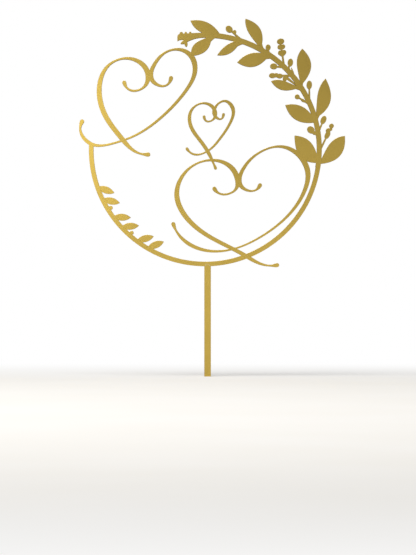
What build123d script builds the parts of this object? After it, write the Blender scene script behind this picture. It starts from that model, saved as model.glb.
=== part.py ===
from build123d import *
import os
from math import asin, atan2, ceil, cos, degrees, radians, sin, sqrt

# Cake topper: a hoop on a pick, carried on by a leaf wreath and filled with scroll hearts.
# Every piece is cut from one thickness of sheet, and they all lie in one plane.
# Lengths are in millimetres and angles in degrees.
# Outlines are drawn flat, as seen from the front, with the hoop's centre at 0, 0.
# A station is an angle round the hoop, anticlockwise from its right-hand side.
# A place on the stem is a share of its run, from 0 at the hoop to 1 at the stem's tip.

# Sheet and joints
SHEET = 3.0  # thickness of the acrylic sheet
FIT = 0.05  # clearance in the tongue and the half-laps

# Hoop
HOOP_DIAMETER = 120.0  # across the outer edge
HOOP_BAND = 2.4  # width of the band
HOOP_LEFT_END = 177.0  # station where the left heart's swash crosses the band and ends it
HOOP_RIGHT_END = -9.0  # station where the band hands over to the wreath stem
HOOP_STUB = 5.4  # length drawn past the left end, which the swash cuts off

# Pick
PICK_WIDTH = 3.4
PICK_STAND = 56.8  # from the surface that the pick enters up to the hoop
PICK_BURIED = 38.0  # length below that surface, point included
PICK_POINT = 9.0  # length of the tapered point
PICK_TIP = 0.8  # width of the blunt tip
PICK_SIDE = 1.2  # the pick stands this far to the right of the hoop's centre
TONGUE_WIDTH = 1.8  # tongue on top of the pick, let into the hoop
TONGUE_DEPTH = 1.1

# Wreath stem
STEM_WIDTH = 2.6
STEM_LIFT = 0.4  # the stem's circle stands this much higher than the hoop's
STEM_TIP = 91.0  # station where the blossom takes over
STEM_LAP = 4.5  # length of the half-lap between stem and hoop
THORN_PLACE = 0.474
THORN_LEAN = -21.0
THORN_LENGTH = 6.0
THORN_BELLY = 0.5

# Wreath leaves: place on the stem, lean, length, left side, right side, root.
# Lean turns the leaf from the stem's growth direction, positive towards the hoop's centre.
# A side is two half-widths, at one third and at two thirds of the length.
# The root is how far a web runs up the leaf from behind its foot.
ROOT_RUN = 4.5  # the web's length along the stem's centre line
ROOT_HOLLOW = 0.5
LEAVES = {
    "leaf_1": (0.909, -18.6, 17.8, (2.0, 2.7), (2.7, 2.8), 0.0),
    "leaf_2": (0.958, 48.4, 15.0, (3.2, 3.1), (1.9, 3.0), 3.2),
    "leaf_3": (0.698, -34.0, 17.8, (1.0, 1.7), (3.9, 4.1), 3.0),
    "leaf_4": (0.809, 49.7, 14.2, (2.2, 2.4), (1.7, 1.6), 3.4),
    "leaf_5": (0.647, 47.4, 17.1, (3.5, 3.7), (2.5, 2.7), 2.8),
    "leaf_6": (0.426, -36.6, 19.3, (1.3, 2.4), (4.3, 4.7), 2.2),
    "leaf_7": (0.419, 45.6, 15.7, (2.6, 3.2), (0.7, 1.5), 3.0),
    "leaf_8": (0.247, -30.5, 21.2, (1.0, 1.9), (4.9, 4.7), 2.9),
    "leaf_9": (0.226, 47.1, 18.2, (3.4, 3.6), (3.0, 3.3), 0.0),
    "leaf_10": (0.021, 48.1, 18.7, (4.6, 4.1), (3.2, 3.7), 0.0),
    "leaf_11": (0.015, -35.8, 19.9, (1.8, 2.9), (4.5, 4.8), 0.0),
}

# Buds and sprigs: place on the stem, lean, then the beads along the stalk.
# A bead is its distance from the foot, offset to the left, half its length and half its width.
STALK_WIDTH = 0.7
STALK_FOOT = 1.1  # the stalk widens to this on the stem's centre line
SPRIGS = {
    "bud_1": (0.794, -21.5, [(9.8, 0.0, 2.0, 1.6), (6.8, -0.7, 1.0, 1.0)]),
    "bud_2": (0.649, -46.1, [(3.8, -0.1, 1.5, 1.3)]),
    "bud_3": (0.520, -46.5, [(4.6, -0.6, 2.0, 1.4)]),
    "bud_4": (0.548, 38.6, [(5.7, 0.0, 1.9, 1.5)]),
    "bud_5": (0.331, -23.9, [(9.1, 0.0, 2.2, 1.4)]),
    "bud_6": (0.320, 35.9, [(7.8, 0.0, 1.3, 1.2), (4.2, 0.1, 1.3, 0.7)]),
    "bud_7": (0.172, -30.7, [(7.2, 0.0, 2.2, 1.4)]),
    "bud_8": (0.154, 43.3, [(5.2, 0.0, 2.1, 1.7), (2.9, 0.1, 1.1, 0.9)]),
    "inner_sprig": (
        0.491,
        49.5,
        [(10.3, 0.0, 1.8, 1.3), (8.4, -0.2, 1.2, 1.1), (6.6, 0.2, 1.7, 1.2), (3.9, 1.5, 1.1, 1.5)],
    ),
    "outer_sprig": (
        0.076,
        -24.2,
        [(14.8, 0.1, 1.2, 1.2), (13.1, -0.5, 0.7, 0.6), (11.9, 0.6, 1.3, 1.2), (9.8, 0.0, 2.2, 1.3)],
    ),
}

# Bract: a narrow drop from the stem to one sprig's last bead, which rests on the leaf beside it
BRACT_SPRIG = "inner_sprig"
BRACT_PLACE = 0.399
BRACT_LEAN = 20.9
BRACT_REACH = 10.7  # from the stem's centre line to the middle of the round end
BRACT_RADIUS = 0.7

# Flower spike: two heart-shaped buds and a round one, stacked on one stalk
SPIKE_PLACE = 0.553
SPIKE_LEAN = -38.6
SPIKE_STALK = 5.0  # from the stem's centre line to the lowest bud's tip
SPIKE_HEARTS = [(3.6, 4.3), (2.7, 4.0)]  # height and width, from the lowest up
SPIKE_LOBE = 0.29  # radius of a heart's lobes over its width
SPIKE_NECK = 0.2  # gap between two buds, which only the stalk bridges
SPIKE_TOP_HEIGHT = 2.9
SPIKE_TOP_WIDTH = 3.8

# Blossom on the stem's tip: a flared tube with scallops above and petals below
BLOSSOM_LENGTH = 13.4
BLOSSOM_LIP = 8.4  # distance of the lower lip from the stem's tip
BLOSSOM_FLARE = 2.1  # the lower lip stands this far below the stem's edge
BLOSSOM_MOUTH = 2.4  # height of the square mouth
MOUTH_DROP = 1.6  # the mouth's lower corner stands this far below the stem's edge
MOUTH_NOTCH = 0.9  # depth of the hollow between lip and mouth
SHOULDER = 2.1  # distance from the mouth to the first scallop
SHOULDER_BULGE = 0.5
SHOULDER_RISE = 0.95  # the shoulder stands this far above the tube's axis
SCALLOPS = [0.9, 0.6, 0.6]  # radii, from the mouth on
SCALLOP_PITCH = 2.3
SCALLOP_TOP = 1.85  # the scallops reach this far above the tube's axis
PETALS = [(8.1, 4.1, 26.0), (9.2, 3.5, 97.0)]  # distance from the stem's tip, length and turn
PETAL_BELLY = 0.85

# Broad nib that draws the hearts: a stroke's width follows its direction
NIB_ANGLE = 20.0
NIB_CONTRAST = 1.6  # a higher value keeps more of each stroke thin
BROAD_PEN = {"thick": 2.7, "thin": 0.95, "drop": 2.1, "lift": 18.0}
FINE_PEN = {"thick": 1.9, "thin": 0.8, "drop": 1.5, "lift": 9.0}
DROP_SHAPE = 1.7  # length of the drop that ends a stroke, over its width
DROP_STEPS = 4  # points along a drop
PEN_STEP = 3.0  # spacing of the points along the rest of a stroke

# Garland on the hoop's inner edge: pairs of leaves, with a dot between two pairs
GARLAND_STATION = 199.0  # where the first leaf stands
GARLAND_PAIRS = 3
GARLAND_PITCH = 17.4  # from pair to pair, round the middle of the band
GARLAND_PAIR = 6.7  # from the first leaf of a pair to the second
GARLAND_DOT = 12.8  # from the first leaf of a pair to the dot
GARLAND_LEAF = 9.2  # length from the middle of the band
GARLAND_BELLY = 1.8
GARLAND_LEAN = -38.0  # turned from the line to the hoop's centre
GARLAND_DOT_RADIUS = 1.0
GARLAND_DOT_STEP = 0.5  # from the band's inner edge to a dot's centre

# Worked out from the sizes above
HOOP_RADIUS = HOOP_DIAMETER / 2
BAND_RADIUS = HOOP_RADIUS - HOOP_BAND / 2
HOOP_HEIGHT = PICK_STAND + sqrt(HOOP_RADIUS**2 - PICK_SIDE**2)
DRAWING = Plane(origin=(-PICK_SIDE, 0, HOOP_HEIGHT), x_dir=(1, 0, 0), z_dir=(0, -1, 0))
LAP_DEPTH = SHEET / 2
STEM_CENTRE = Vector(0, STEM_LIFT)


def polar(distance, angle):
    return Vector(distance * cos(radians(angle)), distance * sin(radians(angle)))


def arc_angle(length):
    """The angle that a length takes up along the middle of the band."""
    return degrees(length / BAND_RADIUS)


def stem_station(place):
    return HOOP_RIGHT_END + place * (STEM_TIP - HOOP_RIGHT_END)


def on_stem(place):
    """A point on the stem's centre line."""
    return STEM_CENTRE + polar(BAND_RADIUS, stem_station(place))


def growth(place, lean):
    """Direction of something that leaves the stem, which itself grows anticlockwise."""
    return stem_station(place) + 90 + lean


def largest(outline):
    return Sketch() + outline.faces().sort_by(SortBy.AREA)[-1]


def coped(outline, neighbours):
    """The outline cut to fit against its neighbours, without the offcuts."""
    for neighbour in neighbours:
        outline = largest(outline - neighbour)
    return outline


def slab(outline):
    return extrude(DRAWING.offset(-SHEET / 2) * outline, SHEET)


def back_layer(outline, depth):
    return extrude(DRAWING.offset(-SHEET / 2) * outline, depth)


def front_layer(outline, depth):
    return extrude(DRAWING.offset(SHEET / 2) * outline, -depth)


# Outlines that several pieces share


def arc_band(width, start, end):
    """A band along the hoop's circle between two stations."""
    outer = CenterArc((0, 0), BAND_RADIUS + width / 2, start, end - start)
    inner = CenterArc((0, 0), BAND_RADIUS - width / 2, start, end - start)
    return make_face([outer, inner, Line(outer @ 0, inner @ 0), Line(outer @ 1, inner @ 1)])


def upright(centre, width, bottom, top):
    """A rectangle between two levels."""
    return Pos(centre, (bottom + top) / 2) * Rectangle(width, top - bottom)


def lens(foot, direction, length, belly):
    """A pointed leaf between two equal arcs."""
    tip = foot + polar(length, direction)
    return make_face([SagittaArc(foot, tip, belly), SagittaArc(foot, tip, -belly)])


def teardrop(tip, centre, radius):
    """A round end drawn out to a tip."""
    axis = centre - tip
    bearing = degrees(atan2(axis.Y, axis.X))
    spread = degrees(asin(radius / axis.length))
    touch = sqrt(axis.length**2 - radius**2)
    left = tip + polar(touch, bearing + spread)
    right = tip + polar(touch, bearing - spread)
    round_end = ThreePointArc(left, centre + polar(radius, bearing), right)
    return make_face([Line(tip, left), round_end, Line(right, tip)])


def stalk(foot, direction, reach):
    """A straight stalk that tapers away from the stem."""
    head = foot + polar(reach, direction)
    foot_side = polar(STALK_FOOT / 2, direction + 90)
    head_side = polar(STALK_WIDTH / 2, direction + 90)
    return make_face(
        Polyline(foot + foot_side, head + head_side, head - head_side, foot - foot_side, close=True)
    )


# Wreath


def stem_part(start, end):
    """What the stem covers between two stations of the hoop."""
    spare = arc_angle(STEM_LAP)
    stem = Pos(STEM_CENTRE) * arc_band(STEM_WIDTH, start - spare, end + spare)
    return stem & arc_band(2 * STEM_WIDTH, start, end)


def thorn():
    return lens(on_stem(THORN_PLACE), growth(THORN_PLACE, THORN_LEAN), THORN_LENGTH, THORN_BELLY)


def leaf_side(name, turn):
    """One edge of a leaf from foot to tip: the left edge with a turn of 90, the right with -90."""
    place, lean, length, left, right, _ = LEAVES[name]
    near, far = left if turn > 0 else right
    foot = on_stem(place)
    direction = growth(place, lean)
    # A cubic with these handles passes through both half-widths
    near_handle = polar(length / 3, direction) + polar(3 * near - 1.5 * far, direction + turn)
    far_handle = polar(length * 2 / 3, direction) + polar(3 * far - 1.5 * near, direction + turn)
    return Bezier(foot, foot + near_handle, foot + far_handle, foot + polar(length, direction))


def leaf(name):
    """A leaf with a hollow web behind its foot."""
    place, lean, *_, root = LEAVES[name]
    outline = make_face([leaf_side(name, 90), leaf_side(name, -90)])
    if root:
        inward = 1 if lean > 0 else -1
        back = leaf_side(name, 90 * inward)
        foot = on_stem(place)
        up = back @ (root / back.length)
        down = STEM_CENTRE + polar(BAND_RADIUS, stem_station(place) - arc_angle(ROOT_RUN))
        hollow = SagittaArc(up, down, ROOT_HOLLOW * inward)
        outline += make_face([Line(foot, up), hollow, Line(down, foot)])
    return outline


def leaf_tip(name):
    return leaf_side(name, 90) @ 1


def leaf_left_side(name):
    """The point halfway along a leaf's left edge."""
    return leaf_side(name, 90) @ 0.5


def sprig(name):
    """A stalk with oval beads on it."""
    place, lean, beads = SPRIGS[name]
    foot = on_stem(place)
    direction = growth(place, lean)
    outline = stalk(foot, direction, max(bead[0] for bead in beads))
    for along, aside, half_length, half_width in beads:
        centre = foot + polar(along, direction) + polar(aside, direction + 90)
        outline += Pos(centre) * Rot(0, 0, direction) * Ellipse(half_length, half_width)
    return outline


def bract():
    foot = on_stem(BRACT_PLACE)
    centre = foot + polar(BRACT_REACH, growth(BRACT_PLACE, BRACT_LEAN))
    return teardrop(foot, centre, BRACT_RADIUS)


def flower_spike():
    """Buds threaded on a stalk, the hearts with their tips down."""
    foot = on_stem(SPIKE_PLACE)
    direction = growth(SPIKE_PLACE, SPIKE_LEAN)
    outline = Sketch()
    reach = SPIKE_STALK
    for height, width in SPIKE_HEARTS:
        tip = foot + polar(reach, direction)
        lobe = SPIKE_LOBE * width
        for side in (90, -90):
            centre = tip + polar(height - lobe, direction) + polar(width / 2 - lobe, direction + side)
            outline += teardrop(tip, centre, lobe)
        reach += height + SPIKE_NECK
    reach += SPIKE_TOP_HEIGHT / 2
    top = Rot(0, 0, direction) * Ellipse(SPIKE_TOP_HEIGHT / 2, SPIKE_TOP_WIDTH / 2)
    return outline + Pos(foot + polar(reach, direction)) * top + stalk(foot, direction, reach)


def blossom():
    """A flared tube that carries on the stem, drawn along its axis and then set on the tip."""
    edge = STEM_WIDTH / 2
    shoulder = BLOSSOM_LENGTH - SHOULDER
    lip = (BLOSSOM_LIP, edge + BLOSSOM_FLARE)
    mouth_low = (BLOSSOM_LENGTH, edge + MOUTH_DROP)
    mouth_high = (BLOSSOM_LENGTH, edge + MOUTH_DROP - BLOSSOM_MOUTH)
    lower = Spline((0, edge), lip, tangents=[(1, 0), (2, 1)])
    hollow = SagittaArc(lip, mouth_low, -MOUTH_NOTCH)
    rounding = SagittaArc(mouth_high, (shoulder, -SHOULDER_RISE), SHOULDER_BULGE)
    upper = Polyline((shoulder, -SHOULDER_RISE), (0, -edge), (0, edge))
    outline = make_face([lower, hollow, Line(mouth_low, mouth_high), rounding, upper])
    for count, radius in enumerate(SCALLOPS):
        outline += Pos(shoulder - count * SCALLOP_PITCH, radius - SCALLOP_TOP) * Circle(radius)
    for along, length, turn in PETALS:
        foot = Vector(along, edge + BLOSSOM_FLARE - MOUTH_NOTCH)
        outline += lens(foot, turn, length, PETAL_BELLY)
    return Pos(on_stem(1)) * Rot(0, 0, growth(1, 0)) * outline


# Hearts


def smooth(share):
    """Eases from 0 to 1 with no corner at either end."""
    share = min(max(share, 0), 1)
    return share * share * (3 - 2 * share)


def pen_width(pen, heading, from_end):
    """Broad across the nib and thin along it, thin near the ends, with a drop on each end."""
    across = abs(sin(atan2(heading.Y, heading.X) - radians(NIB_ANGLE))) ** NIB_CONTRAST
    body = (pen["thick"] - pen["thin"]) * across * smooth(from_end / pen["lift"])
    drop = (pen["drop"] - pen["thin"]) * (1 - smooth(from_end / (DROP_SHAPE * pen["drop"])))
    return pen["thin"] + body + drop


def pen_stroke(pen, points):
    """A stroke along a smooth line through the points, with round ends."""
    line = Spline(*points)
    drop = DROP_SHAPE * pen["drop"]
    middle = line.length - 2 * drop
    steps = ceil(middle / PEN_STEP)
    ends = [drop * count / DROP_STEPS for count in range(DROP_STEPS)]
    stops = ends + [drop + middle * count / steps for count in range(steps + 1)]
    stops += [line.length - stop for stop in reversed(ends)]
    left = []
    right = []
    for stop in stops:
        heading = line % (stop / line.length)
        half = pen_width(pen, heading, min(stop, line.length - stop)) / 2
        left.append(line @ (stop / line.length) + Vector(-heading.Y, heading.X) * half)
        right.append(line @ (stop / line.length) - Vector(-heading.Y, heading.X) * half)
    radius = pen["drop"] / 2
    start_cap = ThreePointArc(left[0], line @ 0 - (line % 0) * radius, right[0])
    end_cap = ThreePointArc(left[-1], line @ 1 + (line % 1) * radius, right[-1])
    return make_face([Spline(*left), end_cap, Spline(*right), start_cap])


def marks(*points):
    """Points in hundredths of the band's radius, so that the hearts fill the hoop.

    A point that another piece gives is a Vector in millimetres and stays as it is."""
    unit = BAND_RADIUS / 100
    return [point if isinstance(point, Vector) else Vector(*point) * unit for point in points]


def left_heart():
    """Bridges the gap from the second leaf's tip to the hoop's left end."""
    left = marks(
        (-71, 59), (-64, 52), (-53, 56), (-51, 69), (-65, 80), (-85, 74),
        (-93, 52), (-87, 29), (-74, 11), (-62, -1), (-50, -4),
    )
    right = marks(
        (-30, 63), (-37, 56), (-47, 62), (-44, 76), (-34, 86), (-22, 88), leaf_tip("leaf_2"),
        (-9, 70), (-17, 52), (-37, 30), (-61, 13), (-80, 6),
        polar(BAND_RADIUS, HOOP_LEFT_END), (-109, 15), (-108, 25),
    )
    return pen_stroke(BROAD_PEN, left) + pen_stroke(BROAD_PEN, right)


def right_heart():
    """Stands between the lowest leaf and the hoop, which its tail crosses."""
    left = marks(
        (8, -34), (16, -39), (27, -34), (25, -18), (8, -9), (-15, -17),
        (-25, -39), (-15, -61), (9, -79), (34, -92), (49, -100), (63, -101),
    )
    right = marks(
        (48, -31), (41, -36), (31, -31), (35, -14), (48, -2), (66, 3), leaf_left_side("leaf_10"),
        (90, -20), (87, -36), (74, -56), (49, -76), (24, -87), (0, -88), (-20, -78), (-28, -65),
    )
    return pen_stroke(BROAD_PEN, left) + pen_stroke(BROAD_PEN, right)


def small_heart():
    """Stands with its tail across the right heart's left lobe."""
    left = marks(
        (-1, 29), (2, 25), (8, 28), (7, 37), (-2, 41), (-12, 35),
        (-13, 22), (-5, 9), (2, -1), (6, -9), (9, -16),
    )
    right = marks(
        (16, 31), (13, 27), (8, 31), (10, 39), (17, 43), (24, 37),
        (22, 24), (13, 10), (2, -1), (-9, -4), (-16, 1),
    )
    return pen_stroke(FINE_PEN, left) + pen_stroke(FINE_PEN, right)


# Hoop, pick and garland


def hoop_band():
    """The band, with a stub past its left end that the swash will cut off."""
    return arc_band(HOOP_BAND, HOOP_LEFT_END - arc_angle(HOOP_STUB), 360 + HOOP_RIGHT_END)


def tongue(clearance):
    """The pick's tongue, or with a clearance its slot in the hoop."""
    top = TONGUE_DEPTH + clearance - HOOP_RADIUS
    return upright(PICK_SIDE, TONGUE_WIDTH + 2 * clearance, -HOOP_RADIUS - TONGUE_DEPTH, top)


def pick_bar():
    """A straight bar with a tapered point, hollowed on top to sit on the hoop."""
    tip = -HOOP_HEIGHT - PICK_BURIED
    half = PICK_WIDTH / 2
    right = [(PICK_TIP / 2, tip), (half, tip + PICK_POINT), (half, -BAND_RADIUS)]
    left = [(-x, y) for x, y in reversed(right)]
    bar = Pos(PICK_SIDE, 0) * make_face(Polyline(*right, *left, close=True))
    return largest(bar - Circle(HOOP_RADIUS)) + tongue(0)


def garland_leaf(along):
    """A leaf this far along the garland, turned from the line to the hoop's centre."""
    station = GARLAND_STATION + arc_angle(along)
    direction = station + 180 + GARLAND_LEAN
    return lens(polar(BAND_RADIUS, station), direction, GARLAND_LEAF, GARLAND_BELLY)


def garland_dot(along):
    """A dot this far along the garland."""
    station = GARLAND_STATION + arc_angle(along)
    inner_edge = BAND_RADIUS - HOOP_BAND / 2
    return Pos(polar(inner_edge - GARLAND_DOT_STEP, station)) * Circle(GARLAND_DOT_RADIUS)


# Outlines, each coped to what carries it
left_outline = left_heart()
right_outline = right_heart()
small_outline = small_heart()
band_outline = hoop_band()
left_lap = band_outline & left_outline
right_lap = band_outline & right_outline
small_lap = right_outline & small_outline
hoop_outline = coped(band_outline, [left_outline]) + left_lap
stem_outline = stem_part(HOOP_RIGHT_END, STEM_TIP) + thorn()
stem_lap = stem_part(HOOP_RIGHT_END, HOOP_RIGHT_END + arc_angle(STEM_LAP))
stem_tongue = stem_part(HOOP_RIGHT_END, HOOP_RIGHT_END + arc_angle(STEM_LAP - FIT))

carriers = [hoop_outline, stem_outline, left_outline, right_outline]
outlines = {}
for name in LEAVES:
    outlines[name] = coped(leaf(name), carriers)
leaf_outlines = list(outlines.values())
outlines["blossom"] = coped(blossom(), [stem_outline] + leaf_outlines)
outlines["flower_spike"] = coped(flower_spike(), [stem_outline] + leaf_outlines)
for name in SPRIGS:
    outline = sprig(name)
    if name == BRACT_SPRIG:
        outline += bract()
    outlines[name] = coped(outline, [stem_outline, outlines["flower_spike"]] + leaf_outlines)
for count in range(GARLAND_PAIRS):
    start = count * GARLAND_PITCH
    first = coped(garland_leaf(start), [hoop_outline])
    second = coped(garland_leaf(start + GARLAND_PAIR), [hoop_outline])
    outlines[f"garland_leaf_{2 * count + 1}"] = first
    outlines[f"garland_leaf_{2 * count + 2}"] = second
for count in range(GARLAND_PAIRS - 1):
    dot = garland_dot(count * GARLAND_PITCH + GARLAND_DOT)
    outlines[f"garland_dot_{count + 1}"] = coped(dot, [hoop_outline])

# Solids: the pieces in front at a half-lap lose their back there, and those behind their front
hoop = slab(hoop_outline - tongue(FIT)) - front_layer(left_lap + right_lap, LAP_DEPTH)
solids = {
    "hoop": hoop + back_layer(stem_tongue, LAP_DEPTH - FIT),
    "pick": slab(pick_bar()),
    "wreath_stem": slab(stem_outline) - back_layer(stem_lap, LAP_DEPTH),
    "left_heart": slab(left_outline) - back_layer(left_lap, LAP_DEPTH + FIT),
    "right_heart": slab(right_outline)
    - back_layer(right_lap, LAP_DEPTH + FIT)
    - front_layer(small_lap, LAP_DEPTH),
    "small_heart": slab(small_outline) - back_layer(small_lap, LAP_DEPTH + FIT),
}
for name, outline in outlines.items():
    solids[name] = slab(outline)

os.makedirs("parts", exist_ok=True)
for name, solid in solids.items():
    export_step(solid, f"parts/{name}.step")
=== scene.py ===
from math import radians

import bpy
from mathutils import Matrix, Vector
from mathutils.bvhtree import BVHTree


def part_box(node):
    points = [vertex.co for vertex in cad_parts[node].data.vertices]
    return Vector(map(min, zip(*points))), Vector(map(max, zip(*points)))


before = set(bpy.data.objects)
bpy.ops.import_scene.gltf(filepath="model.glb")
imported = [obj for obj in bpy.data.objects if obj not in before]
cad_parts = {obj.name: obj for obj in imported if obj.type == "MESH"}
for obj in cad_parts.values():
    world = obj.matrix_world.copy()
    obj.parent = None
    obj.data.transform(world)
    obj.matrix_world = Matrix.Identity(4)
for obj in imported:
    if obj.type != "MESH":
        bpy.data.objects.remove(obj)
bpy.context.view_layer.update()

# Sizes are in metres, and colours are linear.
MM = 0.001

# The photograph: its frame in pixels, and where the hoop's outer edge lies in it
FRAME_WIDTH_PX = 416
FRAME_HEIGHT_PX = 555
HOOP_LEFT_PX = 88.82
HOOP_BOTTOM_PX = 266.31
PIXEL = 0.5153 * MM
CAMERA_DISTANCE = 1.6
SENSOR = 36.0

# The cut edges: a corner closer than the glue gap to another piece counts as glued.
ROUNDING = 0.06 * MM
ROUNDING_STEPS = 2
GLUE_GAP = 0.12 * MM
SAME_POINT = 0.001 * MM
FLAT_ANGLE = radians(0.5)
CRISP_ANGLE = radians(60)

# The gold sheet
GOLD_LIGHT = (0.660, 0.468, 0.101, 1)
GOLD_DEEP = (0.619, 0.436, 0.092, 1)
# The cut edges' gold: their own deeper colour, darkened further with painted shade for a dark outline
GOLD_CUT_AND_SHADE = (0.340, 0.210, 0.030, 1)
SATIN_ROUGHNESS = (0.37, 0.41)
CUT_ROUGHNESS = 0.6
# How squarely a spot faces front or back, from the cut edges to the faces
EDGE_TO_FACE = (0.35, 0.98)
CLOUD_SIZE = 14 * MM
CLOUD_DETAIL = 2.0
GRAIN_SIZE = 0.16 * MM
GRAIN_DETAIL = 3.0
GRAIN_HEIGHT = 0.0006 * MM
# The ribs that the cutting leaves run through the sheet, so their noise is stretched that way.
KERF_SIZE = 0.12 * MM
KERF_DETAIL = 1.0
KERF_HEIGHT = 0.004 * MM
KERF_STRETCH = (1, 0.03, 1)
RELIEF_STRENGTH = 0.5

# The floor and the room: the fade runs between two distances from the floor's middle.
FLOOR_MIDDLE = (0, -0.45, 0)
FLOOR_RADIUS = 0.85
FLOOR_CORNERS = 96
FLOOR_FADE = (0.33, 0.72)
FLOOR_PALE = (0.82, 0.80, 0.765, 1)
FLOOR_WARM = (0.81, 0.787, 0.745, 1)
FLOOR_CLOUD = 0.09
FLOOR_ROUGHNESS = 0.8
WHITE = (1, 1, 1, 1)
AMBIENT = 0.141

# Most of a noise's values lie in this range.
NOISE_RANGE = (0.3, 0.7)
WHOLE_RANGE = (0.0, 1.0)
# A Mix node's sockets for its two inputs and its output, by the kind of data
MIX_SOCKETS = {"FLOAT": (2, 3, 0), "RGBA": (6, 7, 2)}


def shader_node(tree, kind, inputs=None, **settings):
    """Adds a shader node, and feeds its inputs with values or with other nodes' outputs."""
    made = tree.nodes.new("ShaderNode" + kind)
    for name, value in settings.items():
        setattr(made, name, value)
    for name, value in (inputs or {}).items():
        if isinstance(value, bpy.types.NodeSocket):
            tree.links.new(value, made.inputs[name])
        else:
            made.inputs[name].default_value = value
    return made


def noise(tree, place, size, detail=CLOUD_DETAIL):
    """Grey noise whose features are about the given size."""
    texture = shader_node(tree, "TexNoise", {"Vector": place, "Scale": 1 / size, "Detail": detail})
    return texture.outputs["Fac"]


def ranged(tree, value, source, target=WHOLE_RANGE):
    """Maps a value from one range to another, smoothly at both ends."""
    inputs = {
        "Value": value,
        "From Min": source[0],
        "From Max": source[1],
        "To Min": target[0],
        "To Max": target[1],
    }
    return shader_node(tree, "MapRange", inputs, interpolation_type="SMOOTHSTEP").outputs["Result"]


def mixed(tree, factor, first, second, kind="FLOAT"):
    """Mixes two numbers, or two colours where the kind is RGBA."""
    low, high, result = MIX_SOCKETS[kind]
    mix = shader_node(tree, "Mix", {0: factor, low: first, high: second}, data_type=kind)
    return mix.outputs[result]


def material(name):
    """A new node material: itself, its tree and its shader."""
    made = bpy.data.materials.new(name)
    made.use_nodes = True
    return made, made.node_tree, made.node_tree.nodes["Principled BSDF"]


def gold_sheet():
    """Satin gold sheet: clouded and grained on its faces; its cut edges are ribbed and a darker gold,
    partly their own colour and partly painted shade.
    """
    made, tree, shader = material("gold_sheet")
    place = shader_node(tree, "TexCoord").outputs
    facing = shader_node(tree, "SeparateXYZ", {"Vector": place["Normal"]}).outputs["Y"]
    facing = shader_node(tree, "Math", {0: facing}, operation="ABSOLUTE").outputs[0]
    face = ranged(tree, facing, EDGE_TO_FACE)

    cloud = noise(tree, place["Object"], CLOUD_SIZE)
    grain = noise(tree, place["Object"], GRAIN_SIZE, GRAIN_DETAIL)
    across = shader_node(tree, "Mapping", {"Vector": place["Object"], "Scale": KERF_STRETCH})
    kerf = noise(tree, across.outputs["Vector"], KERF_SIZE, KERF_DETAIL)

    gold = mixed(tree, ranged(tree, cloud, NOISE_RANGE), GOLD_DEEP, GOLD_LIGHT, "RGBA")
    # Painted shade: the cut edges take a darker gold, partly their own colour and partly painted shade
    # along the outline
    gold = mixed(tree, face, GOLD_CUT_AND_SHADE, gold, "RGBA")
    tree.links.new(gold, shader.inputs["Base Color"])

    satin = ranged(tree, grain, NOISE_RANGE, SATIN_ROUGHNESS)
    rough = mixed(tree, face, CUT_ROUGHNESS, satin)
    tree.links.new(rough, shader.inputs["Roughness"])
    height = mixed(tree, face, KERF_HEIGHT, GRAIN_HEIGHT)
    relief = mixed(tree, face, kerf, grain)
    bump = shader_node(tree, "Bump", {"Height": relief, "Strength": RELIEF_STRENGTH, "Distance": height})
    tree.links.new(bump.outputs["Normal"], shader.inputs["Normal"])
    shader.inputs["Metallic"].default_value = 1.0
    return made


def room_strength(tree):
    """How strong the room's white is: it lights the topper less than it shows."""
    seen = shader_node(tree, "LightPath").outputs["Is Camera Ray"]
    return ranged(tree, seen, WHOLE_RANGE, (AMBIENT, 1.0))


def pale_floor():
    """A matt, faintly clouded floor that fades into the white of the room."""
    made, tree, shader = material("pale_floor")
    place = shader_node(tree, "TexCoord").outputs["Object"]
    cloud = noise(tree, place, FLOOR_CLOUD)
    pale = mixed(tree, ranged(tree, cloud, NOISE_RANGE), FLOOR_WARM, FLOOR_PALE, "RGBA")
    tree.links.new(pale, shader.inputs["Base Color"])
    shader.inputs["Roughness"].default_value = FLOOR_ROUGHNESS
    reach = shader_node(tree, "VectorMath", {0: place}, operation="LENGTH").outputs["Value"]
    fade = ranged(tree, reach, FLOOR_FADE)
    white = shader_node(tree, "Emission", {"Color": WHITE, "Strength": room_strength(tree)})
    faded = shader_node(tree, "MixShader", {0: fade, 1: shader.outputs[0], 2: white.outputs[0]})
    tree.links.new(faded.outputs[0], tree.nodes["Material Output"].inputs["Surface"])
    return made


def glued_at(piece, pieces):
    """A test that tells whether a corner of this piece's outline lies against another piece."""
    others = []
    for other in pieces:
        if other is not piece:
            corners = [v.co for v in other.data.vertices]
            others.append(BVHTree.FromPolygons(corners, [p.vertices[:] for p in other.data.polygons]))

    def test(corner):
        # Halfway from the face to the sheet's middle, on the cut edge
        inside = Vector((corner.x, corner.y / 2, corner.z))
        return any(tree.find_nearest(inside, GLUE_GAP)[0] for tree in others)

    return test


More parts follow.
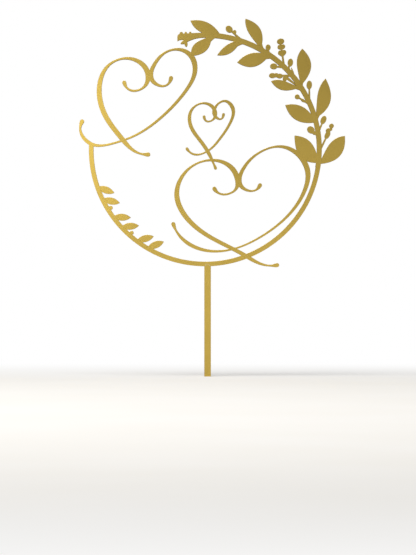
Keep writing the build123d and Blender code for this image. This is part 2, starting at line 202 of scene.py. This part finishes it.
def round_edges(piece, pieces):
    """Rounds a piece's cut edges, and leaves its glue lines tight."""
    mesh = piece.data
    front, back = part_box(piece.name)[0].y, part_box(piece.name)[1].y
    glued = glued_at(piece, pieces)
    on_face = [min(v.co.y - front, back - v.co.y) < SAME_POINT for v in mesh.vertices]
    free = [on_face[v.index] and not glued(v.co) for v in mesh.vertices]
    weights = mesh.attributes.new("bevel_weight_edge", "FLOAT", "EDGE").data
    for edge in mesh.edges:
        a, b = edge.vertices
        same_face = abs(mesh.vertices[a].co.y - mesh.vertices[b].co.y) < SAME_POINT
        weights[edge.index].value = float(on_face[a] and on_face[b] and same_face and (free[a] or free[b]))
    weld = piece.modifiers.new("weld", "WELD")
    weld.merge_threshold = SAME_POINT
    flatten = piece.modifiers.new("flatten", "DECIMATE")
    flatten.decimate_type = "DISSOLVE"
    flatten.angle_limit = FLAT_ANGLE
    bevel = piece.modifiers.new("rounding", "BEVEL")
    bevel.limit_method = "WEIGHT"
    bevel.width = ROUNDING
    bevel.segments = ROUNDING_STEPS
    bevel.use_clamp_overlap = False
    crisp = piece.modifiers.new("crisp", "EDGE_SPLIT")
    crisp.split_angle = CRISP_ANGLE
    crisp.use_edge_sharp = False
    piece.modifiers.new("shading", "WEIGHTED_NORMAL")


def dress_topper():
    """Every piece of the topper is cut from the same gold sheet."""
    gold = gold_sheet()
    pieces = list(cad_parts.values())
    for piece in pieces:
        piece.data.materials.clear()
        piece.data.materials.append(gold)
        round_edges(piece, pieces)


def lay_floor():
    """The floor is where the cake's top would be, so the pick stands in it to the same depth."""
    bpy.ops.mesh.primitive_circle_add(vertices=FLOOR_CORNERS, radius=FLOOR_RADIUS, fill_type="NGON")
    floor = bpy.context.object
    floor.name = "floor"
    floor.location = FLOOR_MIDDLE
    floor.data.materials.append(pale_floor())
    return floor


def light_room():
    """A white room all round."""
    world = bpy.data.worlds.new("room")
    bpy.context.scene.world = world
    world.use_nodes = True
    room = world.node_tree.nodes["Background"]
    room.inputs["Color"].default_value = WHITE
    world.node_tree.links.new(room_strength(world.node_tree), room.inputs["Strength"])


def softbox(name, place, target, size, power):
    """A rectangular studio light, turned to its target."""
    light = bpy.data.lights.new(name, "AREA")
    light.shape = "RECTANGLE"
    light.size, light.size_y = size
    light.energy = power
    lamp = bpy.data.objects.new(name, light)
    lamp.location = place
    lamp.rotation_euler = (Vector(target) - Vector(place)).to_track_quat("-Z", "Y").to_euler()
    lamp.visible_camera = False
    bpy.context.scene.collection.objects.link(lamp)
    return lamp


def set_lights(floor):
    """One broad softbox for everything, and three small ones that leave the floor even."""
    softbox("overhead", place=(-0.3, -0.5, 1.1), target=(0, 0, 0.05), size=(0.9, 0.7), power=18.9)
    # A sheen that falls off from the left to the right
    near_left = softbox(
        "near_left",
        place=(-0.15, -0.25, 0.15),
        target=(-0.04, 0, 0.12),
        size=(0.16, 0.16),
        power=0.196,
    )
    # A lift for the lower right
    low_right = softbox(
        "low_right",
        place=(0.12, -0.45, 0.035),
        target=(0.03, 0, 0.05),
        size=(0.20, 0.05),
        power=0.083,
    )
    # The back's own light, for other views
    behind = softbox(
        "behind",
        place=(0.15, 0.9, 0.35),
        target=(0, 0, 0.1),
        size=(0.5, 0.4),
        power=1.6,
    )
    unlit = bpy.data.collections.new("unlit")
    unlit.objects.link(floor)
    unlit.collection_objects[0].light_linking.link_state = "EXCLUDE"
    for lamp in (near_left, low_right, behind):
        lamp.light_linking.receiver_collection = unlit


def set_camera():
    """Faces the sheet squarely, with the photograph's frame."""
    hoop_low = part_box("hoop")[0]
    lens = bpy.data.cameras.new("camera")
    # The sensor's width lies along the frame's longer side, its height.
    lens.sensor_width = SENSOR
    lens.lens = SENSOR * CAMERA_DISTANCE / (FRAME_HEIGHT_PX * PIXEL)
    camera = bpy.data.objects.new("camera", lens)
    camera.location = (
        hoop_low.x + (FRAME_WIDTH_PX / 2 - HOOP_LEFT_PX) * PIXEL,
        hoop_low.y - CAMERA_DISTANCE,
        hoop_low.z - (FRAME_HEIGHT_PX / 2 - HOOP_BOTTOM_PX) * PIXEL,
    )
    camera.rotation_euler = (radians(90), 0, 0)
    bpy.context.scene.collection.objects.link(camera)
    bpy.context.scene.camera = camera


dress_topper()
light_room()
set_lights(lay_floor())
set_camera()
bpy.context.scene.view_settings.view_transform = "Standard"
